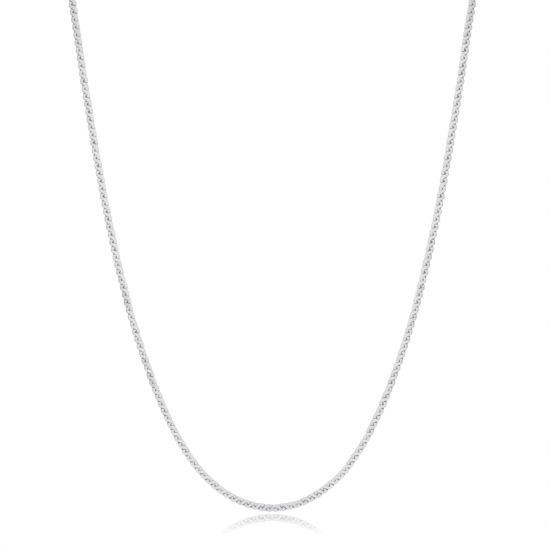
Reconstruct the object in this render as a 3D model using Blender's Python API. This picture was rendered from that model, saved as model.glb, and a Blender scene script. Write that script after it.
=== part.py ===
"""Serpentine chain: a flat silver neck chain, closed at the nape by a plain ring clasp.

Metres, +Z up, +X to the viewer's right, -Y towards whoever faces the wearer.
The origin is the middle of the clasp, where the chain hangs on the nape.
Two mirrored halves of chain meet at the lowest point. Each is a band of S-shaped links:
between one link and the next a bent slot runs in from the outer edge and stops short of
the inner edge, where a narrow bridge holds the half together as one solid.
"""

import bpy
import bmesh
import math
import numpy as np
from mathutils import Matrix, Vector

# Chain
CHAIN_WIDTH = 0.0018
CHAIN_THICKNESS = 0.0009
HALVES_GAP = 0.0003
EDGE_NOTCH = 0.00024
CENTRE_NOTCH = 0.00012

# Links: the pitch is least at the lowest point, where the chain carries least weight
PITCH_SLACK = 0.001846
PITCH_TAUT = 0.001963
TAUT_FROM = 0.1414

# Slots
SLOT_WIDTH = 0.00013
SLOT_EYE_WIDTH = 0.00024
SLOT_MOUTH_WIDTH = 0.00040

# Closure at the nape
CLASP_RADIUS = 0.0030
CLASP_WIRE = 0.0010
EYE_WIRE = 0.0006
EYE_CLEARANCE = 0.0003
CAP_WALL = 0.00035
CAP_END_WALL = 0.0006
CAP_DEPTH = 0.0032
CAP_CLEARANCE = 0.0002
CAP_BEVEL = 0.00015

# The wire ring of an end cap's eye goes round the clasp's wire with EYE_CLEARANCE to spare
EYE_RADIUS = CLASP_WIRE / 2 + EYE_CLEARANCE + EYE_WIRE / 2
CAP_START = CLASP_RADIUS + EYE_RADIUS
CHAIN_END = CAP_START + CAP_END_WALL + CAP_CLEARANCE
CAP_MOUTH = CHAIN_END + CAP_DEPTH

# The nape's place behind and above the lowest point
NAPE_BACK = 0.0747
NAPE_UP = 0.1590

# Half of the route, from the lowest point up one side and back to the nape:
# across from the middle, back, up, and how far the flat face has turned outwards, in degrees
ROUTE = [
    (0.00000, 0.00000, 0.00000, 0.0),
    (0.00379, 0.00000, 0.00038, 0.0),
    (0.00752, 0.00000, 0.00152, 0.0),
    (0.01101, 0.00000, 0.00330, 0.0),
    (0.01457, 0.00000, 0.00594, 0.0),
    (0.01803, 0.00000, 0.00947, 0.0),
    (0.02152, 0.00000, 0.01432, 0.1),
    (0.02511, 0.00000, 0.02087, 0.2),
    (0.02865, 0.00002, 0.02900, 0.3),
    (0.03231, 0.00006, 0.03918, 0.5),
    (0.03579, 0.00017, 0.05099, 0.8),
    (0.03899, 0.00041, 0.06417, 1.2),
    (0.04196, 0.00094, 0.07865, 1.8),
    (0.04476, 0.00194, 0.09446, 2.8),
    (0.04732, 0.00361, 0.11036, 5.0),
    (0.04956, 0.00584, 0.12465, 12.0),
    (0.05110, 0.00830, 0.13320, 24.0),
    (0.05190, 0.01290, 0.14060, 42.0),
    (0.05200, 0.02050, 0.14680, 64.0),
    (0.05060, 0.03080, 0.15100, 86.0),
    (0.04680, 0.04240, 0.15420, 104.0),
    (0.03980, 0.05390, 0.15650, 122.0),
    (0.02940, 0.06440, 0.15800, 142.0),
    (0.01650, 0.07210, 0.15880, 164.0),
    (CAP_MOUTH, NAPE_BACK, NAPE_UP, 180.0),
    (CHAIN_END, NAPE_BACK, NAPE_UP, 180.0),
]
ROUTE_STEP = 0.0004

# A slot's middle line, from its mouth at the outer edge to its tip: the share of a pitch
# that it has run towards the lowest point, the share of the half width from the middle
# line of the band (outer edge -1, inner edge 1), and its width
NOTCH_ACROSS = 1 - 2 * EDGE_NOTCH / CHAIN_WIDTH
SLOT_LINE = [
    (0.00, -NOTCH_ACROSS, SLOT_MOUTH_WIDTH),
    (0.26, 0.26, SLOT_WIDTH),
    (0.50, -0.12, SLOT_EYE_WIDTH),
    (0.63, 0.45, 0.0),
]
# Shares of a pitch between a slot's mouth and the edge's other corners
INNER_NOTCH = 0.78
INNER_HUMP = (0.52, 0.08)
OUTER_HUMP = (0.37, 0.73)
# Shares of a pitch between the lowest point and the first slot's mouth and hump
FIRST_SLOT = 0.84
CENTRE_HUMP = 0.40

# Finish
SILVER = (0.82, 0.82, 0.83, 1.0)
SILVER_ROUGHNESS = 0.18


def clear_scene():
    """Remove what the scene held before."""
    for item in list(bpy.data.objects):
        bpy.data.objects.remove(item, do_unlink=True)


def silver(name):
    """Polished silver."""
    material = bpy.data.materials.new(name)
    material.use_nodes = True
    shader = material.node_tree.nodes["Principled BSDF"]
    shader.inputs["Base Color"].default_value = SILVER
    shader.inputs["Metallic"].default_value = 1.0
    shader.inputs["Roughness"].default_value = SILVER_ROUGHNESS
    return material


def add_object(name, builder):
    """Turn a finished bmesh into one object of its own material."""
    mesh = bpy.data.meshes.new(name)
    builder.to_mesh(mesh)
    builder.free()
    mesh.materials.append(silver(name))
    item = bpy.data.objects.new(name, mesh)
    bpy.context.scene.collection.objects.link(item)
    return item


class Route:
    """A smooth curve through the route's points, read by its length from the lowest point."""

    def __init__(self, points):
        knots = np.array(points)
        spans = np.linalg.norm(np.diff(knots[:, :3], axis=0), axis=1)
        slopes = self.slopes(knots, spans)
        samples = []
        for index, span in enumerate(spans):
            count = max(2, round(span / ROUTE_STEP))
            last = index == len(spans) - 1
            for share in np.linspace(0.0, 1.0, count, endpoint=last):
                samples.append(self.blend(knots, slopes, spans, index, share))
        self.samples = np.array(samples)
        steps = np.linalg.norm(np.diff(self.samples[:, :3], axis=0), axis=1)
        self.lengths = np.concatenate(([0.0], np.cumsum(steps)))
        self.length = self.lengths[-1]

    @staticmethod
    def slopes(knots, spans):
        """Slopes of the cubic spline that leaves the lowest point and reaches the nape level."""
        count = len(knots)
        system = np.zeros((count, count))
        values = np.zeros(knots.shape)
        system[0, 0] = 1.0
        system[-1, -1] = 1.0
        values[0] = (1.0, 0.0, 0.0, 0.0)
        values[-1] = (-1.0, 0.0, 0.0, 0.0)
        for i in range(1, count - 1):
            before = spans[i - 1]
            after = spans[i]
            system[i, i - 1:i + 2] = (after, 2 * (before + after), before)
            rise_before = (knots[i] - knots[i - 1]) / before
            rise_after = (knots[i + 1] - knots[i]) / after
            values[i] = 3 * (after * rise_before + before * rise_after)
        return np.linalg.solve(system, values)

    @staticmethod
    def blend(knots, slopes, spans, i, t):
        """The curve at share t of its span number i."""
        start = 2 * t ** 3 - 3 * t ** 2 + 1
        leave = t ** 3 - 2 * t ** 2 + t
        end = 3 * t ** 2 - 2 * t ** 3
        reach = t ** 3 - t ** 2
        level = start * knots[i] + end * knots[i + 1]
        return level + spans[i] * (leave * slopes[i] + reach * slopes[i + 1])

    def read(self, length):
        """Across, back, up and turn at a length from the lowest point."""
        row = [np.interp(length, self.lengths, self.samples[:, k]) for k in range(4)]
        return row[0], row[1], row[2], row[3]

    def frame(self, length, side):
        """Middle of the band, its direction towards the inner edge, and out of its front."""
        across, back, up, turn = self.read(length)
        ahead = self.read(min(length + ROUTE_STEP, self.length))
        behind = self.read(max(length - ROUTE_STEP, 0.0))
        along = Vector((side * (ahead[0] - behind[0]), ahead[1] - behind[1], ahead[2] - behind[2]))
        if length < ROUTE_STEP:
            along = Vector((side, 0.0, 0.0))
        along.normalize()
        angle = math.radians(turn)
        outwards = Vector((side * math.sin(angle), -math.cos(angle), 0.0))
        front = (outwards - outwards.dot(along) * along).normalized()
        inwards = -side * along.cross(front)
        middle = Vector((side * across, back - NAPE_BACK, up - NAPE_UP))
        return middle, inwards, front


def slot_lengths(end):
    """Length from the lowest point to each slot's mouth, and the pitch there."""
    slots = []
    length = FIRST_SLOT * PITCH_SLACK
    while True:
        pitch = PITCH_SLACK + (PITCH_TAUT - PITCH_SLACK) * min(length / TAUT_FROM, 1.0)
        if length + pitch > end:
            return slots
        slots.append((length, pitch))
        length += pitch


def slot_corners(length, pitch):
    """Both walls of one slot, mouth first: (length, across) on its upper and lower side."""
    half = CHAIN_WIDTH / 2
    line = [Vector((length - u * pitch, v * half)) for u, v, width in SLOT_LINE]
    upper = []
    lower = []
    for index in range(len(line) - 1):
        width = SLOT_LINE[index][2]
        ahead = (line[index + 1] - line[index]).normalized()
        behind = (line[index] - line[index - 1]).normalized() if index else Vector((0.0, 1.0))
        if index == 0:
            ahead = behind
        # Across the slot at this corner, on the upper side, which is the longer length
        square = Vector((ahead.y + behind.y, -ahead.x - behind.x)).normalized()
        mitre = max(square.dot(Vector((ahead.y, -ahead.x))), 0.5)
        offset = square * (width / 2 / mitre)
        upper.append(line[index] + offset)
        lower.append(line[index] - offset)
    return upper, line[-1], lower


class Band:
    """The two faces and the walls of one half of the chain."""

    def __init__(self, route, side):
        self.builder = bmesh.new()
        self.route = route
        self.side = side

    def corner(self, point):
        """A front and a back vertex at a length and a distance from the middle line."""
        middle, inwards, front = self.route.frame(point[0], self.side)
        place = middle + point[1] * inwards
        half = front * (CHAIN_THICKNESS / 2)
        return self.builder.verts.new(place + half), self.builder.verts.new(place - half)

    def corners(self, points):
        """Front and back vertices of several points."""
        return [self.corner(point) for point in points]

    def faces(self, outline):
        """One link's front and back."""
        self.builder.faces.new([pair[0] for pair in outline])
        self.builder.faces.new([pair[1] for pair in reversed(outline)])

    def wall(self, outline):
        """The wall under an open line of corners."""
        for first, second in zip(outline, outline[1:]):
            self.builder.faces.new((first[0], first[1], second[1], second[0]))


def chain_half(name, route, side):
    """One half of the chain, from the lowest point to its end in the cap."""
    band = Band(route, side)
    half = CHAIN_WIDTH / 2
    notch = half - EDGE_NOTCH
    middle = HALVES_GAP / 2
    slots = slot_lengths(route.length)
    groups = []
    for index, (length, pitch) in enumerate(slots):
        upper, tip, lower = slot_corners(length, pitch)
        groups.append({
            "upper": band.corners(upper),
            "tip": band.corner(tip),
            "lower": band.corners(lower),
            "notch": band.corner((length - INNER_NOTCH * pitch if index else middle, notch)),
            "inner": band.corners([(length - u * pitch, half) for u in INNER_HUMP]),
            "outer": band.corners([(length + u * pitch, -half) for u in OUTER_HUMP]),
        })

    first = groups[0]
    centre = band.corner((middle, CENTRE_NOTCH - half))
    hump = band.corner((CENTRE_HUMP * PITCH_SLACK, -half))
    band.faces([centre, hump, *first["lower"], first["tip"], first["notch"]])
    band.wall([first["notch"], centre, hump, *first["lower"], first["tip"]])

    for low, high in zip(groups, groups[1:]):
        low_side = [*low["upper"], low["tip"]]
        high_side = [high["tip"], *reversed(high["lower"])]
        inner = [low["notch"], *low["inner"], high["notch"]]
        outer = list(reversed(low["outer"]))
        band.faces([*low_side, *inner, *high_side, *outer])
        band.wall([low["tip"], *reversed(low["upper"]), *low["outer"], *high["lower"], high["tip"]])
        band.wall(list(reversed(inner)))

    last = groups[-1]
    inner_end = band.corner((route.length, notch))
    outer_end = band.corner((route.length, -notch))
    inner = [last["notch"], *last["inner"], inner_end]
    band.faces([*last["upper"], last["tip"], *inner, outer_end])
    band.wall([last["tip"], *reversed(last["upper"]), outer_end, inner_end])
    band.wall(list(reversed(inner)))
    for vertex in [corner for pair in last["outer"] for corner in pair]:
        band.builder.verts.remove(vertex)

    bmesh.ops.recalc_face_normals(band.builder, faces=band.builder.faces)
    return add_object(name, band.builder)


def ring(radius, wire, segments, sides, turn):
    """A closed ring of round wire about its own axis, turned by a matrix."""
    builder = bmesh.new()
    loops = []
    for i in range(segments):
        angle = math.tau * i / segments
        out = Vector((math.cos(angle), math.sin(angle), 0.0))
        loop = []
        for j in range(sides):
            around = math.tau * (j + 0.5) / sides
            place = out * (radius + wire / 2 * math.cos(around))
            place.z = wire / 2 * math.sin(around)
            loop.append(builder.verts.new(turn @ place))
        loops.append(loop)
    for i, loop in enumerate(loops):
        following = loops[(i + 1) % segments]
        for j in range(sides):
            k = (j + 1) % sides
            builder.faces.new((loop[j], following[j], following[k], loop[k]))
    bmesh.ops.recalc_face_normals(builder, faces=builder.faces)
    return builder


def block(low, high):
    """A box between two corners."""
    builder = bmesh.new()
    size = [b - a for a, b in zip(low, high)]
    centre = [(a + b) / 2 for a, b in zip(low, high)]
    place = Matrix.Translation(centre) @ Matrix.Diagonal((*size, 1.0))
    bmesh.ops.create_cube(builder, size=1.0, matrix=place)
    return builder


def combine(item, other, operation):
    """Join another object to this one, or cut it away, and keep the result."""
    boolean = item.modifiers.new(operation.lower(), "BOOLEAN")
    boolean.operation = operation
    boolean.solver = "EXACT"
    boolean.object = other
    other.hide_render = True
    other.display_type = "WIRE"


def end_cap(name, side):
    """The cap over one end of the chain, with the eye that the clasp goes through."""
    half_high = CHAIN_WIDTH / 2 + CAP_CLEARANCE
    half_deep = CHAIN_THICKNESS / 2 + CAP_CLEARANCE
    near = CAP_START
    pocket = CAP_START + CAP_END_WALL
    body = block(
        (min(side * near, side * CAP_MOUTH), -half_deep - CAP_WALL, -half_high - CAP_WALL),
        (max(side * near, side * CAP_MOUTH), half_deep + CAP_WALL, half_high + CAP_WALL),
    )
    bmesh.ops.bevel(
        body, geom=body.edges[:], offset=CAP_BEVEL, segments=1, affect="EDGES", profile=0.5)
    cap = add_object(name, body)
    beyond = CAP_MOUTH + CAP_DEPTH
    hollow = block(
        (min(side * pocket, side * beyond), -half_deep, -half_high),
        (max(side * pocket, side * beyond), half_deep, half_high),
    )
    combine(cap, add_object(name + "_pocket", hollow), "DIFFERENCE")
    shift = Matrix.Translation((side * CLASP_RADIUS, 0.0, 0.0))
    eye = ring(EYE_RADIUS, EYE_WIRE, 24, 8, shift)
    combine(cap, add_object(name + "_eye", eye), "UNION")
    return cap


def clasp(name):
    """The clasp, one plain closed ring that stands upright across the nape."""
    upright = Matrix.Rotation(math.radians(90.0), 4, "X")
    return add_object(name, ring(CLASP_RADIUS, CLASP_WIRE, 36, 10, upright))


def build():
    """Make the whole necklace."""
    clear_scene()
    route = Route(ROUTE)
    chain_half("chain_left", route, -1)
    chain_half("chain_right", route, 1)
    end_cap("end_cap_left", -1)
    end_cap("end_cap_right", 1)
    clasp("clasp")


build()
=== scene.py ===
import bmesh
import bpy
import math
import numpy as np
from mathutils import Euler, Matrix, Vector


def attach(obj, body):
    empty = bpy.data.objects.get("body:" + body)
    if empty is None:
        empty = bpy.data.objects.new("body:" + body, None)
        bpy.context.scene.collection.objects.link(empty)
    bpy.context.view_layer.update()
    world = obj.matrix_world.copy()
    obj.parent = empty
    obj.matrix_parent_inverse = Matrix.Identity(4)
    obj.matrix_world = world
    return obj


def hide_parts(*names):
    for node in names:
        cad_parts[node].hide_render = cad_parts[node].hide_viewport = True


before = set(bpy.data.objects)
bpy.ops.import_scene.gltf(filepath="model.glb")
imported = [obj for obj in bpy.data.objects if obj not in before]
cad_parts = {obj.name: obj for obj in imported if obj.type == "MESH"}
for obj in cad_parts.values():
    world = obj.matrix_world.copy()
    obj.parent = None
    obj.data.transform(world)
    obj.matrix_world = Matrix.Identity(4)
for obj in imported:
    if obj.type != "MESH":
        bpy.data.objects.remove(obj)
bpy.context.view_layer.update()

# Chain, in metres. The pitches, and the place of the first seam in pitches from the lowest
# point, are set a little closer to the photograph than in the solids
CHAIN_WIDTH = 0.0018
CHAIN_THICKNESS = 0.0009
PITCH_SLACK = 0.0018469
PITCH_TAUT = 0.0019632
FULL_PITCH_FROM = 0.1414
FIRST_SEAM = 0.770
HALF_WIDTH = CHAIN_WIDTH / 2
HALF_THICKNESS = CHAIN_THICKNESS / 2
MEAN_PITCH = (PITCH_SLACK + PITCH_TAUT) / 2

# Closure at the nape
CLASP_RADIUS = 0.0030
CLASP_WIRE = 0.0010
CLASP_STEPS = (72, 20)
EYE_WIRE = 0.0006
EYE_CLEARANCE = 0.0003
EYE_RADIUS = CLASP_WIRE / 2 + EYE_CLEARANCE + EYE_WIRE / 2
EYE_STEPS = (40, 14)
CAP_START = CLASP_RADIUS + EYE_RADIUS
CAP_BACK = 0.0006
CAP_CLEARANCE = 0.0002
CAP_GRIP = 0.0032
CHAIN_END = CAP_START + CAP_BACK + CAP_CLEARANCE
CAP_MOUTH = CHAIN_END + CAP_GRIP
CAP_WALL = 0.00035
CAP_HALF_HEIGHT = HALF_WIDTH + CAP_CLEARANCE + CAP_WALL
CAP_HALF_DEPTH = HALF_THICKNESS + CAP_CLEARANCE + CAP_WALL
CAP_ROUND = 0.00035
CAP_LEAST_ROUND = 0.00004
CAP_CORNER_STEPS = 6
# Along the sleeve and how far its section is drawn in there: back, outside, lip and pocket
CAP_SECTIONS = [
    (CAP_START, 0.00042),
    (CAP_START + 0.00002, 0.00026),
    (CAP_START + 0.00010, 0.00010),
    (CAP_START + 0.00026, 0.00002),
    (CAP_START + 0.00042, 0.0),
    (CAP_MOUTH - 0.00018, 0.0),
    (CAP_MOUTH - 0.00006, 0.00003),
    (CAP_MOUTH, 0.00013),
    (CAP_MOUTH - 0.00002, 0.00026),
    (CAP_MOUTH - 0.00010, CAP_WALL),
    (CAP_START + CAP_BACK, CAP_WALL),
]

# The route of half the chain: across, back and up from the lowest point, and the
# flat face's turn outwards in degrees
NAPE_BACK = 0.0747
NAPE_UP = 0.1590
ROUTE = [
    (0.00000, 0.00000, 0.00000, 0.0),
    (0.00379, 0.00000, 0.00038, 0.0),
    (0.00752, 0.00000, 0.00152, 0.0),
    (0.01101, 0.00000, 0.00330, 0.0),
    (0.01457, 0.00000, 0.00594, 0.0),
    (0.01803, 0.00000, 0.00947, 0.0),
    (0.02152, 0.00000, 0.01432, 0.1),
    (0.02511, 0.00000, 0.02087, 0.2),
    (0.02865, 0.00002, 0.02900, 0.3),
    (0.03231, 0.00006, 0.03918, 0.5),
    (0.03579, 0.00017, 0.05099, 0.8),
    (0.03899, 0.00041, 0.06417, 1.2),
    (0.04196, 0.00094, 0.07865, 1.8),
    (0.04476, 0.00194, 0.09446, 2.8),
    (0.04732, 0.00361, 0.11036, 5.0),
    (0.04956, 0.00584, 0.12465, 12.0),
    (0.05110, 0.00830, 0.13320, 24.0),
    (0.05190, 0.01290, 0.14060, 42.0),
    (0.05200, 0.02050, 0.14680, 64.0),
    (0.05060, 0.03080, 0.15100, 86.0),
    (0.04680, 0.04240, 0.15420, 104.0),
    (0.03980, 0.05390, 0.15650, 122.0),
    (0.02940, 0.06440, 0.15800, 142.0),
    (0.01650, 0.07210, 0.15880, 164.0),
    (CAP_MOUTH, NAPE_BACK, NAPE_UP, 180.0),
    (CHAIN_END, NAPE_BACK, NAPE_UP, 180.0),
]
ROUTE_STEP = 0.0004

# A link's form where the chain hangs taut and where it lies slack round the bend. The seam
# between one link and the next runs from the outer edge to the inner one: share of a pitch
# along, share of the half width across, the gap there in metres and how full its rims are.
# The outer and inner humps are the open edges between seams, and the core, a share of the
# half width, closes the seams from behind and is painted in the full dark seam shade
TAUT = {
    "seam": [
        (-0.100, -0.692, 0.000340, 1.0),
        (-0.070, -0.542, 0.000220, 1.0),
        (-0.040, -0.380, 0.000130, 1.0),
        (0.020, -0.195, 0.000042, 0.6),
        (0.110, 0.035, 0.000021, 0.4),
        (0.188, 0.235, 0.000014, 0.3),
        (0.268, 0.275, 0.000021, 0.3),
        (0.338, 0.150, 0.000115, 0.7),
        (0.388, -0.050, 0.000230, 1.0),
        (0.475, -0.130, 0.000218, 1.0),
        (0.545, 0.120, 0.000049, 0.7),
        (0.630, 0.450, 0.000033, 0.6),
        (0.710, 0.870, 0.000107, 0.8),
    ],
    "outer": [(0.12, -0.78), (0.25, -0.92), (0.44, -0.985), (0.62, -0.93), (0.74, -0.79)],
    "inner": [(-0.09, 0.97), (0.09, 1.02), (0.31, 1.04), (0.52, 1.02), (0.66, 0.97)],
    "core": 0.59,
}
SLACK = {
    "seam": [
        (-0.062, -0.790, 0.000190, 1.0),
        (-0.032, -0.590, 0.000190, 1.0),
        (-0.012, -0.380, 0.000139, 1.0),
        (0.065, -0.168, 0.000090, 0.8),
        (0.140, 0.062, 0.000040, 0.5),
        (0.230, 0.262, 0.000030, 0.4),
        (0.300, 0.292, 0.000040, 0.4),
        (0.375, 0.060, 0.000082, 0.7),
        (0.445, -0.150, 0.000146, 0.6),
        (0.515, -0.210, 0.000127, 0.5),
        (0.595, 0.090, 0.000070, 0.4),
        (0.670, 0.420, 0.000030, 0.3),
        (0.790, 0.860, 0.000060, 0.5),
    ],
    "outer": [(0.11, -0.84), (0.25, -0.92), (0.44, -0.98), (0.63, -0.93), (0.77, -0.86)],
    "inner": [(-0.08, 0.88), (0.10, 0.94), (0.32, 0.96), (0.54, 0.94), (0.68, 0.88)],
    "core": 0.73,
}

# The lowest link's open edges, in the same shares: its foot, and its top in the middle
LOWEST_FOOT = [(-0.64, -0.965), (-0.40, -1.0), (-0.17, -0.94), (0.0, -0.80)]
LOWEST_TOP = [(0.0, 0.74)]

# Lengths from the lowest point between which the slack form turns into the taut one
SLACK_UNTIL = 0.022
TAUT_BY = 0.08

# Middle of a link, in pitches from its own mouth
LINK_MIDDLE = 0.83

# A link is a little thinner than its solid, which leaves it room to turn in its place
HALF_LINK = HALF_THICKNESS - 0.00003

# Rim from back to front: drawn in by, height and how much painted shade a seam's wall gets there
RIM = [
    (0.0, -HALF_LINK, 0.9),
    (0.0, HALF_LINK - 0.00008, 0.5),
    (0.00010, HALF_LINK, 0.0),
]
# A rim's corner is drawn in by at most its width divided by this
CORNER_LIMIT = 0.6

# The core's back and front, and how far it laps over its neighbour's
CORE_HEIGHTS = (-0.00022, 0.00014)
CORE_LAP = 0.00008

# How far a link turns in its place, in radians, the share of that about each axis, and the
# random seed of each half
LOOSENESS = 0.04
TILT_SHARES = (("X", 1.0), ("Y", 0.6), ("Z", 0.8))
LEFT_SEED = 3
RIGHT_SEED = 11

# Silver on the faces and the painted shade down in the seams, as red, green and blue, and
# how rough each piece's polish is
SILVER = (0.830, 0.826, 0.842)
SEAM_PAINTED_SHADE = (0.22, 0.22, 0.23)
CHAIN_ROUGHNESS = 0.14
CAP_ROUGHNESS = 0.14
CLASP_ROUGHNESS = 0.12

# The polished face has painted shade along the chain's outer edge, is duller where it is hazy,
# and is rougher in haze, scratches and seams. The outer edge's painted shade is a ramp over the
# half width across
DULL_SHADE = 0.86
OUTER_PAINTED_SHADE = 0.15
OUTER_SHADE_RAMP = (-0.30, -0.95, 0.0, 1.0)
HAZE_DULL = 0.25
HAZE_ROUGHNESS = 0.08
SCRATCH_ROUGHNESS = 0.05
SEAM_ROUGHNESS = 0.10

# How far the face falls away towards its edges, and its finest relief, in metres, with how
# many spots of haze, grain or scratches there are to a metre
CROWN = 0.00004
GRAIN_HEIGHT = 0.0000010
SCRATCH_DEPTH = 0.0000008
HAZE_SCALE = 700.0
GRAIN_SCALE = 9000.0
SCRATCH_SCALE = (1800.0, 26000.0, 26000.0)
SCRATCH_TURN = (0.3, 0.6, 0.4)
SCRATCH_RAMP = (0.58, 0.72, 0.0, 1.0)

# Photograph: its size in pixels, the face-on scale in metres a pixel, the column of the lowest
# point, and the rows of the middle line and of the table there
PICTURE = 550
SCALE = 0.0002466
MIDDLE_COLUMN = 271.78
LOWEST_ROW = 507.46
MIRROR_ROW = 512.2
CAMERA_DISTANCE = 1.2
SENSOR = 36.0

# The table and the grey cards: sizes in metres, how bright each card is in its middle and at
# its sides, and the shares of its width between which that changes
WHITE = (1, 1, 1, 1)
TABLE_SIZE = 6.0
WIDE_CARD = (1.4, 1.6)
CARD_TONES = {
    "card_left": (0.51, 0.51),
    "card_right": (0.38, 0.38),
    "card_above": (0.55, 0.55),
    "card_front": (0.96, 0.60),
    "card_between": (0.80, 0.80),
}
CARD_RAMP = (0.05, 0.40)

# Ramps over the table, in metres away from the chain's front or aside from its middle: where
# each starts and ends, and its values there. The first two are how much the table mirrors,
# the others how bright the metal sees it
MIRROR_AWAY = (0.03, 0.105, 0.56, 0.0)
MIRROR_ASIDE = (0.015, 0.05, 1.0, 0.0)
GLOW_AWAY = (0.10, 0.40, 0.98, 0.90)
SHADE_AWAY = (0.01, 0.07, 1.0, 0.0)
SHADE_ASIDE = (0.05, 0.12, 0.16, 0.55)
DARK_ASIDE = (0.05, 0.22, 0.0, 0.60)


class Value:
    """An output socket that takes part in sums: each sign adds one Math node."""

    def __init__(self, tree, socket):
        self.tree = tree
        self.socket = socket

    def math(self, operation, *terms):
        node = self.tree.add("ShaderNodeMath", {"operation": operation}, dict(enumerate(terms)))
        return node.value()

    def __add__(self, other):
        return self.math("ADD", self, other)

    def __radd__(self, other):
        return self.math("ADD", other, self)

    def __sub__(self, other):
        return self.math("SUBTRACT", self, other)

    def __rsub__(self, other):
        return self.math("SUBTRACT", other, self)

    def __mul__(self, other):
        return self.math("MULTIPLY", self, other)

    def __rmul__(self, other):
        return self.math("MULTIPLY", other, self)

    def __truediv__(self, other):
        return self.math("DIVIDE", self, other)

    def __rtruediv__(self, other):
        return self.math("DIVIDE", other, self)

    def __abs__(self):
        return self.math("ABSOLUTE", self)


class Added:
    """A node that has been added, read by its outputs."""

    def __init__(self, tree, node):
        self.tree = tree
        self.node = node

    def value(self, name=0):
        return Value(self.tree, self.node.outputs[name])


class Tree:
    """A node tree being built."""

    def __init__(self, node_tree):
        self.tree = node_tree

    def add(self, kind, settings=None, sockets=None):
        """Add one node: its settings first, then the values or links of its sockets."""
        node = self.tree.nodes.new(kind)
        for name, setting in (settings or {}).items():
            setattr(node, name, setting)
        for name, given in (sockets or {}).items():
            self.join(given, node.inputs[name])
        return Added(self, node)

    def join(self, given, socket):
        if isinstance(given, Value):
            self.tree.links.new(given.socket, socket)
        else:
            socket.default_value = given


def ramp(tree, value, start, end, low, high, smooth=False):
    """A value that goes from low to high as another one goes from start to end."""
    settings = {"interpolation_type": "SMOOTHSTEP" if smooth else "LINEAR"}
    node = tree.add("ShaderNodeMapRange", settings, {
        "Value": value, "From Min": start, "From Max": end, "To Min": low, "To Max": high})
    return node.value()


class Route:
    """A smooth curve through the route's points, read by its length from the lowest point."""

    def __init__(self, points):
        knots = np.array(points)
        spans = np.linalg.norm(np.diff(knots[:, :3], axis=0), axis=1)
        slopes = self.find_slopes(knots, spans)
        samples = []
        for index, span in enumerate(spans):
            count = max(2, round(span / ROUTE_STEP))
            last = index == len(spans) - 1
            for share in np.linspace(0.0, 1.0, count, endpoint=last):
                samples.append(self.blend(knots, slopes, spans, index, share))
        self.samples = np.array(samples)
        steps = np.linalg.norm(np.diff(self.samples[:, :3], axis=0), axis=1)
        self.lengths = np.concatenate(([0.0], np.cumsum(steps)))
        self.length = self.lengths[-1]

    @staticmethod
    def find_slopes(knots, spans):
        """Slopes of the cubic spline that leaves the lowest point and reaches the nape level."""
        count = len(knots)
        system = np.zeros((count, count))
        values = np.zeros(knots.shape)
        system[0, 0] = 1.0
        system[-1, -1] = 1.0
        values[0] = (1.0, 0.0, 0.0, 0.0)
        values[-1] = (-1.0, 0.0, 0.0, 0.0)
        for i in range(1, count - 1):
            before = spans[i - 1]
            after = spans[i]
            system[i, i - 1:i + 2] = (after, 2 * (before + after), before)
            rise_before = (knots[i] - knots[i - 1]) / before
            rise_after = (knots[i + 1] - knots[i]) / after
            values[i] = 3 * (after * rise_before + before * rise_after)
        return np.linalg.solve(system, values)

    @staticmethod
    def blend(knots, slopes, spans, i, t):
        """The curve at share t of its span number i."""
        start = 2 * t ** 3 - 3 * t ** 2 + 1
        leave = t ** 3 - 2 * t ** 2 + t
        end = 3 * t ** 2 - 2 * t ** 3
        reach = t ** 3 - t ** 2
        level = start * knots[i] + end * knots[i + 1]
        return level + spans[i] * (leave * slopes[i] + reach * slopes[i + 1])

    def read(self, length):
        """Place and turn at a length, which is negative on the left half."""
        side = -1.0 if length < 0 else 1.0
        row = [np.interp(abs(length), self.lengths, self.samples[:, k]) for k in range(4)]
        place = Vector((side * row[0], row[1] - NAPE_BACK, row[2] - NAPE_UP))
        return place, side * row[3]

    def frame(self, length):
        """Place, the direction to the inner edge and the direction out of the front."""
        place, turn = self.read(length)
        ahead = self.read(min(length + ROUTE_STEP, self.length))[0]
        behind = self.read(max(length - ROUTE_STEP, -self.length))[0]
        along = (ahead - behind).normalized()
        angle = math.radians(turn)
        outwards = Vector((math.sin(angle), -math.cos(angle), 0.0))
        front = (outwards - outwards.dot(along) * along).normalized()
        return place, front.cross(along), front


def rail(route):
    """The whole route as a line that carries the band's directions, left end first."""
    lengths = np.concatenate((-route.lengths[:0:-1], route.lengths))
    frames = [route.frame(length) for length in lengths]
    mesh = bpy.data.meshes.new("rail")
    edges = [(i, i + 1) for i in range(len(frames) - 1)]
    mesh.from_pydata([row[0] for row in frames], edges, [])
    for name, column in (("inwards", 1), ("front", 2)):
        store = mesh.attributes.new(name, "FLOAT_VECTOR", "POINT")
        store.data.foreach_set("vector", [part for row in frames for part in row[column]])
    return bpy.data.objects.new("rail", mesh)


def mouths(end):
    """Length from the lowest point to each seam's mouth, and the pitch there."""
    rows = []
    length = FIRST_SEAM * PITCH_SLACK
    while length <= end:
        pitch = PITCH_SLACK + (PITCH_TAUT - PITCH_SLACK) * min(length / FULL_PITCH_FROM, 1.0)
        rows.append((length, pitch))
        length += pitch
    return rows


def slackness(length):
    """How slack the chain is at a length from the lowest point: 1 in the bend, 0 up a strand."""
    return min(max((TAUT_BY - length) / (TAUT_BY - SLACK_UNTIL), 0.0), 1.0)


def seam_walls(seam, pitch):
    """The two sides of a seam whose mouth is at 0, mouth first."""
    line = [Vector((along * pitch, across * HALF_WIDTH)) for along, across, gap, rim in seam]
    before = []
    after = []
    for i, (_, _, gap, rim) in enumerate(seam):
        ahead = line[min(i + 1, len(line) - 1)] - line[i]
        behind = line[i] - line[max(i - 1, 0)]
        step = ahead.normalized() + behind.normalized()
        square = Vector((step.y, -step.x)).normalized()
        before.append((line[i] - square * gap / 2, 1.0, rim))
        after.append((line[i] + square * gap / 2, 1.0, rim))
    return before, after


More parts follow.
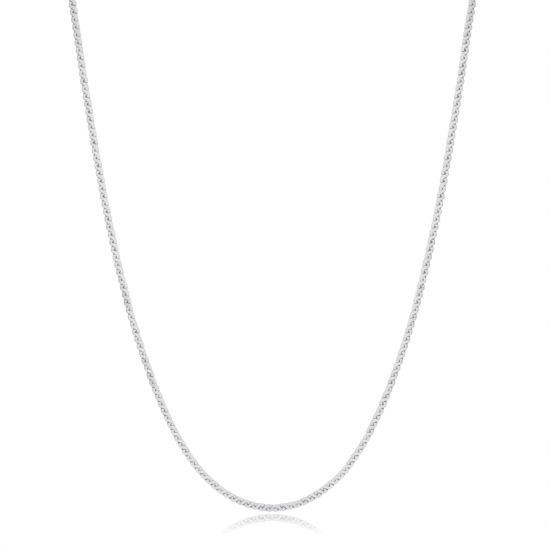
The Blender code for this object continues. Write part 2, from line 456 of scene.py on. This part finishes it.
def edge(shares, pitch, shift=0.0):
    """Corners on an open edge of the chain, which get no painted seam shade."""
    return [
        (Vector(((along + shift) * pitch, across * HALF_WIDTH)), 0.0, 1.0)
        for along, across in shares]


def moved(corners, along):
    return [(point + Vector((along, 0.0)), seam, rim) for point, seam, rim in corners]


def link_outline(form):
    """Corners of one link of the left half, seen from the front.

    Along grows towards the lowest link and across towards the inner edge, in metres. Each
    corner carries how much painted seam shade it gets and how full its rim is."""
    before, after = seam_walls(form["seam"], MEAN_PITCH)
    corners = after + edge(form["inner"], MEAN_PITCH, 1.0)
    corners += moved(reversed(before), MEAN_PITCH)
    return corners + edge(reversed(form["outer"]), MEAN_PITCH)


def lowest_outline():
    """Corners of the lowest link's left half: from the middle of its top round to its foot."""
    after = seam_walls(SLACK["seam"], PITCH_SLACK)[1]
    left = moved(reversed(after[:-1]), -FIRST_SEAM * PITCH_SLACK)
    return edge(LOWEST_TOP, PITCH_SLACK) + left + edge(LOWEST_FOOT, PITCH_SLACK)


def turned_area(points):
    """Twice the area inside an outline, negative where it runs clockwise."""
    following = points[1:] + points[:1]
    return sum(a.x * b.y - b.x * a.y for a, b in zip(points, following))


def inset(points, amounts):
    """An outline drawn in by an amount at each corner."""
    count = len(points)
    drawn = []
    for i, amount in enumerate(amounts):
        behind = (points[i] - points[i - 1]).normalized()
        ahead = (points[(i + 1) % count] - points[i]).normalized()
        step = (ahead + behind).normalized()
        inside = Vector((-step.y, step.x))
        reach = max(inside.dot(Vector((-ahead.y, ahead.x))), CORNER_LIMIT)
        drawn.append(points[i] + inside * amount / reach)
    return drawn


def drawn_rings(corners, halved):
    """The outline's points at each height of the rim.

    Half an outline is drawn in together with its mirror image, so its middle stays put."""
    points = [corner[0] for corner in corners]
    rims = [corner[2] for corner in corners]
    if halved:
        points += [Vector((-point.x, point.y)) for point in reversed(points)][1:-1]
        rims += rims[::-1][1:-1]
    rings = []
    for amount, height, _ in RIM:
        drawn = inset(points, [amount * rim for rim in rims])
        rings.append([Vector((point.x, point.y, height)) for point in drawn[:len(corners)]])
    return rings


def core_points(start, end, share):
    """Corners of the middle layer, painted in the full dark seam shade, that closes the seams where
    links lie over each other.
    """
    return [
        Vector((along, across * share * HALF_WIDTH, CORE_HEIGHTS[height]))
        for along in (start, end) for across, height in ((-1, 0), (1, 0), (1, 1), (-1, 1))]


def add_face(builder, depth, corners, shades, smooth=False):
    """One face that carries how much painted seam shade each of its corners gets."""
    face = builder.faces.new(corners)
    face.smooth = smooth
    for loop, shade in zip(face.loops, shades):
        loop[depth] = shade


def add_rims(builder, depth, rings, seams, halved):
    """The faces between each ring of the outline and the next, with painted shade where they face a
    seam.
    """
    count = len(seams)
    for low, high, (_, _, dark_low), (_, _, dark_high) in zip(rings, rings[1:], RIM, RIM[1:]):
        for i in range(count - 1 if halved else count):
            j = (i + 1) % count
            shades = [dark_low * seams[i], dark_low * seams[j]]
            shades += [dark_high * seams[j], dark_high * seams[i]]
            add_face(builder, depth, (low[i], low[j], high[j], high[i]), shades, smooth=True)


def add_core(builder, depth, sides):
    """The faces of the middle layer, painted in the full dark seam shade, from the four corners at
    each of its ends.
    """
    # Full painted seam shade on every corner of the core
    dark = [1.0] * 4
    for i in range(4):
        j = (i + 1) % 4
        add_face(builder, depth, (sides[i], sides[j], sides[j + 4], sides[i + 4]), dark)
    add_face(builder, depth, sides[:4], dark)
    add_face(builder, depth, sides[4:], dark)


def plate(name, corners, slack_corners, right=False, halved=False):
    """A flat plate with drawn-in front rims, as a mesh lying along X with its front up.

    Each point carries the way it goes where the chain is slack."""
    core = (-FIRST_SEAM * PITCH_SLACK, 0.0) if halved else (-CORE_LAP, MEAN_PITCH)
    if turned_area([corner[0] for corner in corners]) < 0:
        corners = list(reversed(corners))
        slack_corners = list(reversed(slack_corners))
    builder = bmesh.new()
    # Each face corner's share of the painted seam shade, which the silver turns dark
    depth = builder.loops.layers.float.new("seam")
    opening = builder.verts.layers.float_vector.new("opening")
    rows = drawn_rings(corners, halved) + [core_points(*core, TAUT["core"])]
    slack_rows = drawn_rings(slack_corners, halved) + [core_points(*core, SLACK["core"])]
    rings = [[builder.verts.new(point) for point in row] for row in rows]
    for ring, slack_row in zip(rings, slack_rows):
        for vertex, point in zip(ring, slack_row):
            vertex[opening] = point - vertex.co
    *rings, sides = rings
    add_rims(builder, depth, rings, [corner[1] for corner in corners], halved)
    if halved:
        middle = [loop[-1] for loop in rings] + [loop[0] for loop in reversed(rings)]
        add_face(builder, depth, middle, [0.0] * len(middle))
    add_face(builder, depth, list(reversed(rings[0])), [0.0] * len(corners))
    add_face(builder, depth, rings[-1], [0.0] * len(corners))
    add_core(builder, depth, sides)
    if right:
        for vertex in builder.verts:
            vertex.co.x = -vertex.co.x
            vertex[opening].x = -vertex[opening].x
    bmesh.ops.recalc_face_normals(builder, faces=builder.faces)
    mesh = bpy.data.meshes.new(name)
    builder.to_mesh(mesh)
    builder.free()
    return bpy.data.objects.new(name, mesh)


def places(name, rows):
    """Points where links sit, the lowest link's own point last.

    A row holds the length there, the link's share of the mean pitch, how slack the chain is
    and the length at the link's middle."""
    mesh = bpy.data.meshes.new(name)
    mesh.from_pydata([(row[0], 0.0, 0.0) for row in rows], [], [])
    for column, label in ((1, "share"), (2, "slack"), (3, "middle")):
        store = mesh.attributes.new(label, "FLOAT", "POINT")
        store.data.foreach_set("value", [row[column] for row in rows])
    store = mesh.attributes.new("lowest", "BOOLEAN", "POINT")
    store.data.foreach_set("value", [i == len(rows) - 1 for i in range(len(rows))])
    item = bpy.data.objects.new(name, mesh)
    bpy.context.scene.collection.objects.link(item)
    return item


def carried(tree, name, kind="FLOAT"):
    """What each point carries under a name."""
    return tree.add("GeometryNodeInputNamedAttribute", {"data_type": kind}, {"Name": name}).value()


def position(tree):
    """Where each point is, to be read as X, Y and Z."""
    where = tree.add("GeometryNodeInputPosition")
    return tree.add("ShaderNodeSeparateXYZ", None, {0: where.value()})


def shape_of(tree, item):
    """The shape of an object that the tree is given."""
    return tree.add("GeometryNodeObjectInfo", None, {"Object": item}).value("Geometry")


def directions(tree, operation, sockets):
    """A sum on places or directions."""
    return tree.add("ShaderNodeVectorMath", {"operation": operation}, sockets)


def spread_of(tree, given, share, turn):
    """A random value either side of nothing, another one for each turn."""
    limit = given.value("Looseness") * share
    # Sockets 2 and 3, and output 1, are the ones for plain numbers
    node = tree.add("FunctionNodeRandomValue", {"data_type": "FLOAT"}, {
        2: -1 * limit, 3: limit, "Seed": given.value("Seed") + turn})
    return node.value(1)


def laid_flat(tree, given):
    """The links side by side on a straight line, each a little loose in its place."""
    points = tree.add("GeometryNodeMeshToPoints", None, {"Mesh": given.value("Places")})
    lowest = carried(tree, "lowest", "BOOLEAN")
    other = tree.add("FunctionNodeBooleanMath", {"operation": "NOT"}, {0: lowest})
    size = tree.add("ShaderNodeCombineXYZ", None, {"X": carried(tree, "share"), "Y": 1.0, "Z": 1.0})
    tilt = tree.add("ShaderNodeCombineXYZ", None, {
        axis: spread_of(tree, given, share, turn)
        for turn, (axis, share) in enumerate(TILT_SHARES)})
    row = tree.add("GeometryNodeInstanceOnPoints", None, {
        "Points": points.value(), "Selection": other.value(),
        "Instance": shape_of(tree, given.value("Link")),
        "Rotation": tilt.value(), "Scale": size.value()})
    end = tree.add("GeometryNodeInstanceOnPoints", None, {
        "Points": points.value(), "Selection": lowest,
        "Instance": shape_of(tree, given.value("Lowest link"))})
    both = tree.add("GeometryNodeJoinGeometry")
    for part in (end, row):
        tree.join(part.value(), both.node.inputs[0])
    flat = tree.add("GeometryNodeRealizeInstances", None, {"Geometry": both.value()})
    step = directions(tree, "SCALE", {
        0: carried(tree, "opening", "FLOAT_VECTOR"), "Scale": carried(tree, "slack")})
    formed = tree.add("GeometryNodeSetPosition", None, {
        "Geometry": flat.value(), "Offset": step.value()})
    across = position(tree).value("Y") / HALF_WIDTH
    return tree.add("GeometryNodeStoreNamedAttribute", {"data_type": "FLOAT", "domain": "POINT"}, {
        "Geometry": formed.value(), "Name": "across", "Value": across})


def along_rail(tree, curve, name, length):
    """The rail's place and one of its stored directions at a length."""
    settings = {"mode": "LENGTH", "data_type": "FLOAT_VECTOR"}
    read = tree.add("GeometryNodeSampleCurve", settings, {
        "Curves": curve, "Value": carried(tree, name, "FLOAT_VECTOR"), "Length": length})
    unit = directions(tree, "NORMALIZE", {0: read.value()})
    return read.value("Position"), unit.value()


def stepped(tree, start, direction, distance):
    """A place moved in a direction by a distance."""
    step = directions(tree, "SCALE", {0: direction, "Scale": distance})
    return directions(tree, "ADD", {0: start, 1: step.value()}).value()


def bent(tree, given, flat):
    """The straight row bent along the rail, and each link in it pressed flat again."""
    line = shape_of(tree, given.value("Rail"))
    curve = tree.add("GeometryNodeMeshToCurve", None, {"Mesh": line}).value()
    parts = position(tree)
    start, inwards = along_rail(tree, curve, "inwards", parts.value("X"))
    goal = stepped(tree, start, inwards, parts.value("Y"))
    centre, front = along_rail(tree, curve, "front", carried(tree, "middle"))
    away = directions(tree, "SUBTRACT", {0: goal, 1: centre})
    height = directions(tree, "DOT_PRODUCT", {0: away.value(), 1: front}).value("Value")
    goal = stepped(tree, goal, front, parts.value("Z") - height)
    return tree.add("GeometryNodeSetPosition", None, {"Geometry": flat.value(), "Position": goal})


def link_tree():
    """A tree that lays a flat link at each place and bends the row along the rail.

    With it come the identifiers of its inputs, by name."""
    group = bpy.data.node_groups.new("Links along a route", "GeometryNodeTree")
    identifiers = {}
    for name, kind in (
        ("Places", "NodeSocketGeometry"), ("Link", "NodeSocketObject"),
        ("Lowest link", "NodeSocketObject"), ("Rail", "NodeSocketObject"),
        ("Looseness", "NodeSocketFloat"), ("Seed", "NodeSocketInt"),
        ("Finish", "NodeSocketMaterial"),
    ):
        socket = group.interface.new_socket(name, in_out="INPUT", socket_type=kind)
        identifiers[name] = socket.identifier
    group.interface.new_socket("Links", in_out="OUTPUT", socket_type="NodeSocketGeometry")
    tree = Tree(group)
    given = tree.add("NodeGroupInput")
    row = bent(tree, given, laid_flat(tree, given))
    real = tree.add("GeometryNodeRealizeInstances", None, {"Geometry": row.value()})
    done = tree.add("GeometryNodeSetMaterial", None, {
        "Geometry": real.value(), "Material": given.value("Finish")})
    tree.add("NodeGroupOutput", None, {"Links": done.value()})
    return group, identifiers


def lay_links(name, rows, tree, inputs):
    """One half of the chain, made by the tree from its inputs and kept as a plain mesh."""
    group, identifiers = tree
    item = places(name, rows)
    layer = item.modifiers.new("links", "NODES")
    layer.node_group = group
    for label, given in inputs.items():
        layer[identifiers[label]] = given
    evaluated = item.evaluated_get(bpy.context.evaluated_depsgraph_get())
    mesh = bpy.data.meshes.new_from_object(evaluated)
    mesh.name = name
    item.modifiers.clear()
    item.data = mesh
    return item


def new_material(name):
    material = bpy.data.materials.new(name)
    material.use_nodes = True
    material.node_tree.nodes.clear()
    return material, Tree(material.node_tree)


def noise(tree, where, scale, detail):
    """An uneven value between 0 and 1."""
    sockets = {"Vector": where, "Scale": scale, "Detail": detail}
    return tree.add("ShaderNodeTexNoise", None, sockets).value("Fac")


def between(tree, share, first, second):
    """A colour part of the way from a first one to a second."""
    # Sockets 6 and 7, and output 2, are the ones for colours
    sockets = {"Factor": share, 6: first, 7: second}
    return tree.add("ShaderNodeMix", {"data_type": "RGBA"}, sockets).value(2)


def silver(name, roughness):
    """Polished silver, a little crowned, with painted shade along the outer edge and down in the
    seams.
    """
    material, tree = new_material(name)
    where = tree.add("ShaderNodeTexCoord").value("Object")
    # Painted shade down in the seams: the seam attribute mixes the face towards a dark colour
    seam = tree.add("ShaderNodeAttribute", {"attribute_name": "seam"}).value("Fac")
    across = tree.add("ShaderNodeAttribute", {"attribute_name": "across"}).value("Fac")
    # Painted shade along the chain's outer edge, darkest at the rim
    outer = ramp(tree, across, *OUTER_SHADE_RAMP, smooth=True)
    haze = noise(tree, where, HAZE_SCALE, 3.0)
    grain = noise(tree, where, GRAIN_SCALE, 2.0)
    stretched = tree.add("ShaderNodeMapping", None, {
        "Vector": where, "Rotation": SCRATCH_TURN, "Scale": SCRATCH_SCALE})
    scratch = ramp(tree, noise(tree, stretched.value(), 1.0, 1.0), *SCRATCH_RAMP)
    # Real haze and the painted outer-edge shade both darken the face colour
    haze_and_painted_shade = OUTER_PAINTED_SHADE * outer + HAZE_DULL * haze
    hazed_and_shaded_silver = [DULL_SHADE * part for part in SILVER]
    face = between(tree, haze_and_painted_shade, (*SILVER, 1), (*hazed_and_shaded_silver, 1))
    colour = between(tree, seam, face, (*SEAM_PAINTED_SHADE, 1))
    rough = roughness + HAZE_ROUGHNESS * haze + SCRATCH_ROUGHNESS * scratch + SEAM_ROUGHNESS * seam
    squared = across * across
    height = -CROWN * squared * squared + GRAIN_HEIGHT * grain - SCRATCH_DEPTH * scratch
    bump = tree.add("ShaderNodeBump", None, {"Strength": 1.0, "Distance": 1.0, "Height": height})
    shader = tree.add("ShaderNodeBsdfPrincipled", None, {
        "Base Color": colour, "Metallic": 1.0, "Roughness": rough, "Normal": bump.value()})
    tree.add("ShaderNodeOutputMaterial", None, {"Surface": shader.value()})
    return material


def add_ring(builder, centre, radius, wire, steps, upright):
    """A closed ring of round wire about a centre, lying flat or standing upright.

    Steps are the numbers of faces round the ring and round its wire."""
    up = Vector((0.0, 0.0, 1.0)) if upright else Vector((0.0, 1.0, 0.0))
    over = Vector((0.0, 1.0, 0.0)) if upright else Vector((0.0, 0.0, 1.0))
    segments, sides = steps
    loops = []
    for i in range(segments):
        angle = math.tau * i / segments
        out = Vector((math.cos(angle), 0.0, 0.0)) + up * math.sin(angle)
        loop = []
        for j in range(sides):
            around = math.tau * j / sides
            reach = radius + wire / 2 * math.cos(around)
            height = wire / 2 * math.sin(around)
            loop.append(builder.verts.new(centre + out * reach + over * height))
        loops.append(loop)
    add_skin(builder, loops + loops[:1])


def add_skin(builder, loops):
    """Faces between each closed loop of points and the next one."""
    for low, high in zip(loops, loops[1:]):
        for i in range(len(low)):
            j = (i + 1) % len(low)
            builder.faces.new((low[i], low[j], high[j], high[i])).smooth = True


def sleeve_section(drawn_in):
    """Corners of the cap's rounded section, drawn in by an amount."""
    radius = max(CAP_ROUND - drawn_in, CAP_LEAST_ROUND)
    count = 4 * CAP_CORNER_STEPS
    points = []
    for i in range(count):
        angle = math.tau * (i + 0.5) / count
        height = math.copysign(CAP_HALF_HEIGHT - drawn_in - radius, math.sin(angle))
        depth = math.copysign(CAP_HALF_DEPTH - drawn_in - radius, math.cos(angle))
        points.append((depth + radius * math.cos(angle), height + radius * math.sin(angle)))
    return points


def add_sleeve(builder, side):
    """The cap's sleeve: from its rounded back along the outside, over its lip and in."""
    loops = []
    for along, drawn_in in CAP_SECTIONS:
        points = [(side * along, depth, height) for depth, height in sleeve_section(drawn_in)]
        loops.append([builder.verts.new(point) for point in points])
    add_skin(builder, loops)
    builder.faces.new(loops[0])
    builder.faces.new(loops[-1])


def finished(builder, name, material):
    """The built mesh as an object at the origin, with its faces outwards."""
    bmesh.ops.recalc_face_normals(builder, faces=builder.faces)
    mesh = bpy.data.meshes.new(name)
    builder.to_mesh(mesh)
    builder.free()
    mesh.materials.append(material)
    item = bpy.data.objects.new(name, mesh)
    bpy.context.scene.collection.objects.link(item)
    return item


def flat_square(name, finish, size, centre):
    """A flat square, and the empty tree of its material."""
    bpy.ops.mesh.primitive_plane_add(size=size, location=centre)
    item = bpy.context.object
    item.name = name
    material, tree = new_material(finish)
    item.data.materials.append(material)
    return item, tree


def own_parts(tree):
    """A place on a surface, in the object's own X, Y and Z."""
    where = tree.add("ShaderNodeTexCoord")
    return tree.add("ShaderNodeSeparateXYZ", None, {0: where.value("Object")})


def white_floor(level, front):
    """The white table, which mirrors what stands close above it."""
    floor, tree = flat_square("floor", "white_table", TABLE_SIZE, (0.0, 0.0, level))
    parts = own_parts(tree)
    away = abs(parts.value("Y") - front)
    near = ramp(tree, away, *MIRROR_AWAY)
    under = ramp(tree, abs(parts.value("X")), *MIRROR_ASIDE, smooth=True)
    grazing = tree.add("ShaderNodeLayerWeight", None, {"Blend": 0.5}).value("Facing")
    glow = tree.add("ShaderNodeEmission", None, {"Color": WHITE, "Strength": 1.0})
    gloss = tree.add("ShaderNodeBsdfGlossy", None, {"Color": WHITE, "Roughness": 0.0})
    mixed = tree.add("ShaderNodeMixShader", None, {
        0: under * near * grazing, 1: glow.value(), 2: gloss.value()})
    tree.add("ShaderNodeOutputMaterial", None, {"Surface": mixed.value()})
    floor.visible_glossy = False


def only_mirrored(item, tree, tone):
    """Let a panel glow in a grey tone, and only where the metal mirrors it."""
    glow = tree.add("ShaderNodeEmission", None, {"Color": tone, "Strength": 1.0})
    tree.add("ShaderNodeOutputMaterial", None, {"Surface": glow.value()})
    item.visible_camera = False
    item.visible_shadow = False
    item.visible_diffuse = False


def table_light(level, front):
    """What the metal mirrors of the table: bright ahead, greyer under and beside the chain."""
    centre = (0.0, 0.0, level - 0.0005)
    item, tree = flat_square("table_light", "table_light", TABLE_SIZE, centre)
    parts = own_parts(tree)
    away = abs(parts.value("Y") - front)
    aside = abs(parts.value("X"))
    glow = ramp(tree, away, *GLOW_AWAY)
    shade = ramp(tree, away, *SHADE_AWAY) * ramp(tree, aside, *SHADE_ASIDE)
    dark = ramp(tree, aside, *DARK_ASIDE)
    only_mirrored(item, tree, (1 - dark) * (glow - shade))


def card(name, centre, size, aim):
    """A flat grey panel that only the metal mirrors: the table's sharp mirror shows it white."""
    item, tree = flat_square(name, name, 1.0, centre)
    item.scale = (*size, 1.0)
    item.rotation_mode = "QUATERNION"
    item.rotation_quaternion = (Vector(aim) - Vector(centre)).to_track_quat("Z", "Y")
    aside = abs(own_parts(tree).value("X"))
    tone = ramp(tree, aside, *CARD_RAMP, *CARD_TONES[name])
    sharp = tree.add("ShaderNodeLightPath").value("Is Singular Ray")
    only_mirrored(item, tree, tone + sharp * (1 - tone))


def studio():
    """White surroundings, and grey cards for the metal to mirror."""
    scene = bpy.context.scene
    scene.view_settings.view_transform = "Standard"
    world = bpy.data.worlds.new("white_room")
    world.use_nodes = True
    world.node_tree.nodes["Background"].inputs["Color"].default_value = WHITE
    scene.world = world
    front = -NAPE_BACK
    level = -NAPE_UP - (MIRROR_ROW - LOWEST_ROW) * SCALE
    white_floor(level, front)
    table_light(level, front)
    middle = (0.0, front, -0.1)
    ahead = front + 0.3
    card("card_left", (-0.9, ahead, 0.0), WIDE_CARD, (0.0, ahead, 0.0))
    card("card_right", (0.9, ahead, 0.0), WIDE_CARD, (0.0, ahead, 0.0))
    card("card_above", (0.0, front, 0.9), WIDE_CARD, middle)
    card("card_front", (0.0, -1.6, 0.0), (3.6, 1.6), middle)
    card("card_between", (0.0, -0.15, 0.02), (0.32, 0.7), (1.0, -0.15, 0.02))


def camera():
    """The camera, level and square to the front, at the photograph's scale."""
    data = bpy.data.cameras.new("camera")
    data.sensor_width = SENSOR
    data.lens = SENSOR * CAMERA_DISTANCE / (PICTURE * SCALE)
    data.clip_start = 0.05
    data.clip_end = 20.0
    item = bpy.data.objects.new("camera", data)
    centre = (PICTURE - 1) / 2
    item.location = (
        (centre - MIDDLE_COLUMN) * SCALE,
        -NAPE_BACK - CAMERA_DISTANCE,
        -NAPE_UP + (LOWEST_ROW - centre) * SCALE,
    )
    item.rotation_euler = Euler((math.radians(90.0), 0.0, 0.0))
    bpy.context.scene.collection.objects.link(item)
    bpy.context.scene.camera = item


def chain():
    """The links of both halves and the lowest link that joins them."""
    route = Route(ROUTE)
    line = rail(route)
    tree = link_tree()
    material = silver("chain_silver", CHAIN_ROUGHNESS)
    # A link runs from its own seam to the next one nearer the lowest point
    rows = mouths(route.length)[1:]
    for side, sign, seed in (("left", -1, LEFT_SEED), ("right", 1, RIGHT_SEED)):
        spots = []
        for length, pitch in rows:
            start = route.length + sign * length
            middle = start - sign * LINK_MIDDLE * pitch
            spots.append((start, pitch / MEAN_PITCH, slackness(length), middle))
        spots.append((route.length, 1.0, 0.0, route.length))
        link = plate("link_" + side, link_outline(TAUT), link_outline(SLACK), sign > 0)
        foot = plate("lowest_" + side, lowest_outline(), lowest_outline(), sign > 0, halved=True)
        piece = lay_links("links_" + side, spots, tree, {
            "Link": link, "Lowest link": foot, "Rail": line,
            "Looseness": LOOSENESS, "Seed": seed, "Finish": material})
        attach(piece, "root")
        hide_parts("chain_" + side)


def closure():
    """The end caps with their eyes, and the ring clasp through both eyes."""
    cap = silver("cap_silver", CAP_ROUGHNESS)
    clasp = silver("clasp_silver", CLASP_ROUGHNESS)
    for side, name in ((-1, "left"), (1, "right")):
        builder = bmesh.new()
        add_sleeve(builder, side)
        eye = Vector((side * CLASP_RADIUS, 0.0, 0.0))
        add_ring(builder, eye, EYE_RADIUS, EYE_WIRE, EYE_STEPS, False)
        piece = finished(builder, "cap_" + name, cap)
        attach(piece, "root")
        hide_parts("end_cap_" + name)
    builder = bmesh.new()
    add_ring(builder, Vector((0.0, 0.0, 0.0)), CLASP_RADIUS, CLASP_WIRE, CLASP_STEPS, True)
    piece = finished(builder, "clasp_ring", clasp)
    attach(piece, "root")
    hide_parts("clasp")


studio()
camera()
chain()
closure()
